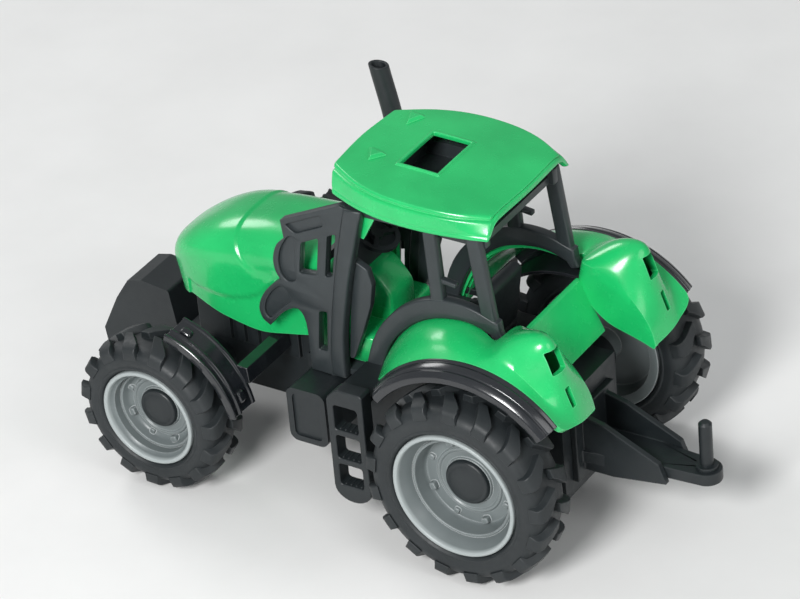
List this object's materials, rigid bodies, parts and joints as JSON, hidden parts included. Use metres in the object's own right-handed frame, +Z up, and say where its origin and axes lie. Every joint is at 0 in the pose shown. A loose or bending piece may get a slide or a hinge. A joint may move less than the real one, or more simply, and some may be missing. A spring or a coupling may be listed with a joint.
{
  "type": "toy tractor",
  "caption": "Toy farm tractor with lugged wheels on two steel axles, open cab, exhaust stack, front weight, inertia drive and a rear hitch pin for a toy trailer.",
  "frame": {"origin": "on the ground under the middle of the tractor (bottom centre of its bounding box)", "axes": "+X forward towards the front weight, +Y to the tractor's left, +Z up"},
  "size_m": [0.168, 0.0808, 0.0919],
  "materials": {
    "green_plastic": "glossy moulded plastic",
    "grey_plastic": "satin moulded plastic",
    "black_plastic": "satin moulded plastic",
    "gloss_black": "glossy moulded plastic",
    "rim_plastic": "satin moulded plastic",
    "tyre": "matt soft plastic",
    "steel": "bright drawn wire and zinc plated screws",
    "white_plastic": "natural nylon"
  },
  "bodies": {
    "tractor": {"bonnet": "green_plastic", "cab_roof": "green_plastic", "rear_fenders": "green_plastic", "cab_frame": "grey_plastic", "seat": "black_plastic", "steering_column": "black_plastic", "steering_wheel": "black_plastic", "fender_lip_left": "gloss_black", "fender_lip_right": "gloss_black", "steps_left": "black_plastic", "steps_right": "black_plastic", "side_tank_left": "black_plastic", "side_tank_right": "black_plastic", "front_mudguard_left": "gloss_black", "front_mudguard_right": "gloss_black", "chassis": "black_plastic", "belly_plate": "black_plastic", "engine_block": "black_plastic", "front_weight": "black_plastic", "exhaust_stack": "black_plastic", "hitch_bracket": "black_plastic", "hitch_pin": "black_plastic", "base_screws": "steel", "gearbox_case_left": "white_plastic", "gearbox_case_right": "white_plastic", "gearbox_screws": "steel"},
    "rear_wheels": {"rear_axle": "steel", "axle_gear": "white_plastic", "rear_tyre_left": "tyre", "rear_rim_left": "rim_plastic", "rear_hub_cap_left": "black_plastic", "rear_tyre_right": "tyre", "rear_rim_right": "rim_plastic", "rear_hub_cap_right": "black_plastic"},
    "front_wheels": {"front_axle": "steel", "front_tyre_left": "tyre", "front_rim_left": "rim_plastic", "front_hub_cap_left": "black_plastic", "front_tyre_right": "tyre", "front_rim_right": "rim_plastic", "front_hub_cap_right": "black_plastic"},
    "layshaft": {"lay_gear": "white_plastic", "lay_shaft": "steel"},
    "flywheel_unit": {"flywheel": "steel", "flywheel_pinion": "white_plastic", "flywheel_shaft": "steel"}
  },
  "joints": [
    {"name": "rear_axle_spin", "type": "hinge", "parent": "tractor", "child": "rear_wheels", "pos_m": [-0.037, 0, 0.0244], "axis": [0, 1, 0], "continuous": true},
    {"name": "front_axle_spin", "type": "hinge", "parent": "tractor", "child": "front_wheels", "pos_m": [0.0485, 0, 0.0202], "axis": [0, 1, 0], "continuous": true},
    {"name": "layshaft_spin", "type": "hinge", "parent": "tractor", "child": "layshaft", "pos_m": [-0.0274, 0, 0.0244], "axis": [0, 1, 0], "continuous": true},
    {"name": "flywheel_spin", "type": "hinge", "parent": "tractor", "child": "flywheel_unit", "pos_m": [-0.0178, 0, 0.0244], "axis": [0, 1, 0], "continuous": true}
  ],
  "couplings": [
    {"joint": "layshaft_spin", "follows": "rear_axle_spin", "ratio": -3},
    {"joint": "flywheel_spin", "follows": "rear_axle_spin", "ratio": 9}
  ]
}
